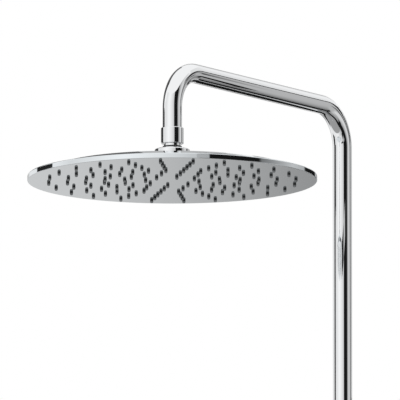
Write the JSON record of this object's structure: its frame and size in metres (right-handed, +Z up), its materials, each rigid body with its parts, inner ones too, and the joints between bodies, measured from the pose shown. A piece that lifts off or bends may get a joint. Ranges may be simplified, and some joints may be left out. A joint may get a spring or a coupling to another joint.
{
  "type": "shower system",
  "caption": "Wall-mounted shower pipe with a round overhead shower on a ball joint, a wall bracket and a diverter with knob at the inlet.",
  "frame": {"origin": "middle of the water inlet on the wall plane", "axes": "+Z up, +Y into the wall, so the arm reaches towards -Y; +X to the right of a person who faces the wall"},
  "size_m": [0.3, 0.565, 1.056],
  "materials": {
    "chrome": "polished chrome plating",
    "polished_steel": "mirror polished stainless steel",
    "brass": "turned, unplated inside",
    "silicone": "soft moulded silicone",
    "seal_rubber": "black sealing rubber",
    "white_plastic": "moulded plastic",
    "grey_plastic": "moulded plastic",
    "zinc_steel": "zinc plated steel",
    "ceramic": "lapped ceramic"
  },
  "bodies": {
    "root": {"riser_pipe": "chrome", "arm_end_nipple": "brass", "swivel_ball": "chrome", "filter_washer": "seal_rubber", "flow_regulator": "grey_plastic", "neck_ring": "seal_rubber", "diverter_body": "chrome", "riser_ring": "seal_rubber", "grip_ring": "white_plastic", "riser_nut": "chrome", "wall_nipple": "chrome", "inlet_washer": "seal_rubber", "inlet_nut": "chrome", "wall_rosette": "chrome", "fixed_disc": "ceramic", "cartridge_sleeve": "grey_plastic", "gland_nut": "brass", "outlet_nipple": "chrome", "outlet_washer": "seal_rubber", "check_valve": "white_plastic", "bracket_base": "zinc_steel", "bracket_screws": "zinc_steel", "bracket_rosette": "chrome", "bracket_holder": "chrome", "bracket_grub_screw": "zinc_steel", "bracket_liner": "white_plastic"},
    "lower_seat": {"lower_ball_seat": "white_plastic"},
    "upper_seat": {"upper_ball_seat": "white_plastic"},
    "head": {"hub_cap": "chrome", "hub_socket": "chrome", "hub_lock_nut": "brass", "top_shell": "polished_steel", "spray_plate": "polished_steel", "nozzle_mat": "silicone", "chamber_cover": "grey_plastic", "cover_screws": "zinc_steel", "inlet_ring": "seal_rubber", "rim_seal": "seal_rubber"},
    "knob": {"diverter_knob": "chrome", "knob_lever": "chrome", "knob_screw": "zinc_steel", "knob_cap": "chrome", "spindle": "brass", "moving_disc": "ceramic"}
  },
  "joints": [
    {"name": "head_tilt_front", "type": "hinge", "parent": "root", "child": "lower_seat", "pos_m": [0, -0.385, 0.9087], "axis": [1, 0, 0], "range_deg": [-6, 6]},
    {"name": "head_tilt_side", "type": "hinge", "parent": "lower_seat", "child": "upper_seat", "pos_m": [0, -0.385, 0.9087], "axis": [0, 1, 0], "range_deg": [-6, 6]},
    {"name": "head_spin", "type": "hinge", "parent": "upper_seat", "child": "head", "pos_m": [0, -0.385, 0.9087], "axis": [0, 0, 1], "continuous": true},
    {"name": "knob_turn", "type": "hinge", "parent": "root", "child": "knob", "pos_m": [0, -0.09, 0], "axis": [0, -1, 0], "range_deg": [0, 90]}
  ]
}
